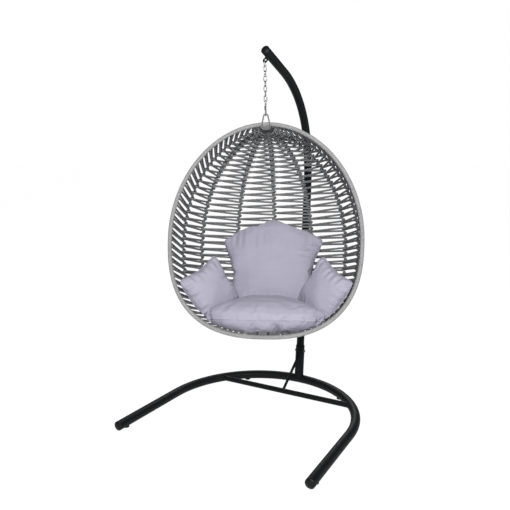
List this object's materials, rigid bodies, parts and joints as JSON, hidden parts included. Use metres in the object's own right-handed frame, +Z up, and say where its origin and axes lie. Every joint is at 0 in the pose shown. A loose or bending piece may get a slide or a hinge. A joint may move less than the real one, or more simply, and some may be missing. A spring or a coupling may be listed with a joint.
{
  "type": "hanging egg chair",
  "caption": "Hanging egg chair with a rope basket and loose cushions, hung by a chain from a curved pole on a U-shaped tube base.",
  "frame": {"origin": "on the floor, under the middle of the stand's outline", "axes": "+Z up, the chair's front towards -Y, +X to the chair's left as a sitter faces -Y"},
  "size_m": [1.1572, 1.1788, 1.9551],
  "materials": {
    "frame_black": "black powder coat, satin",
    "cap_black": "moulded, matt",
    "pad_black": "matt",
    "zinc": "bright zinc plated",
    "loop_grey": "grey paint, satin",
    "rim_wrap": "light grey wrapped cord",
    "hub_grey": "grey paint, satin",
    "rib_wrap": "grey wrapped cord",
    "rope": "twisted rope, grey",
    "cushion_cloth": "lavender-grey woven cloth"
  },
  "bodies": {
    "stand": {"base_tube": "frame_black", "foot_cap_left": "cap_black", "foot_cap_right": "cap_black", "floor_pads": "pad_black", "cross_tube": "frame_black", "pole_socket": "frame_black", "socket_brace": "frame_black", "lower_pole": "frame_black", "upper_pole": "frame_black", "pole_cap": "cap_black", "hook_eye": "frame_black", "pole_bolts": "zinc", "pole_nuts": "zinc"},
    "top_link": {"chain_link_1": "zinc"},
    "chain_top": {"chain_link_2": "zinc"},
    "chain_mid": {"chain_link_3": "zinc", "chain_link_4": "zinc", "chain_link_5": "zinc"},
    "chain_low": {"chain_link_6": "zinc", "chain_link_7": "zinc", "chain_link_8": "zinc"},
    "connector": {"quick_link": "zinc", "quick_link_nut": "zinc"},
    "basket": {"hanging_loop": "loop_grey", "rim_hoop": "frame_black", "rim_wrap_left": "rim_wrap", "rim_wrap_right": "rim_wrap", "top_hub": "hub_grey", "bottom_hub": "hub_grey", "rib_1": "rib_wrap", "rib_2": "rib_wrap", "rib_3": "rib_wrap", "rib_4": "rib_wrap", "rib_5": "rib_wrap", "rib_6": "rib_wrap", "rib_7": "rib_wrap", "weave_1": "rope", "weave_2": "rope", "weave_3": "rope", "weave_4": "rope", "weave_5": "rope", "weave_6": "rope", "weave_7": "rope", "weave_8": "rope", "seat_cushion": "cushion_cloth", "back_pillow": "cushion_cloth", "arm_pillow_left": "cushion_cloth", "arm_pillow_right": "cushion_cloth"}
  },
  "joints": [
    {"name": "swing_fore_aft", "type": "hinge", "parent": "stand", "child": "top_link", "pos_m": [0, 0.0631, 1.8737], "axis": [1, 0, 0], "range_deg": [-20, 0.8]},
    {"name": "swing_sideways", "type": "hinge", "parent": "top_link", "child": "chain_top", "pos_m": [0, 0.0631, 1.85085], "axis": [0, 1, 0], "range_deg": [-10, 8]},
    {"name": "basket_twist", "type": "hinge", "parent": "chain_top", "child": "connector", "pos_m": [0, 0.0631, 1.67865], "axis": [0, 0, 1], "range_deg": [-36, 2.4]},
    {"name": "chain_twist_mid", "type": "hinge", "parent": "chain_top", "child": "chain_mid", "pos_m": [0, 0.0631, 1.82625], "axis": [0, 0, 1], "range_deg": [-12, 0.8]},
    {"name": "chain_twist_low", "type": "hinge", "parent": "chain_top", "child": "chain_low", "pos_m": [0, 0.0631, 1.75245], "axis": [0, 0, 1], "range_deg": [-24, 1.6]},
    {"name": "basket_rock", "type": "hinge", "parent": "connector", "child": "basket", "pos_m": [0, 0.0631, 1.61575], "axis": [0.9205, 0.3907, 0], "range_deg": [-8, 0.3]}
  ],
  "couplings": [
    {"joint": "chain_twist_mid", "follows": "basket_twist", "ratio": 0.33333},
    {"joint": "chain_twist_low", "follows": "basket_twist", "ratio": 0.66667}
  ]
}
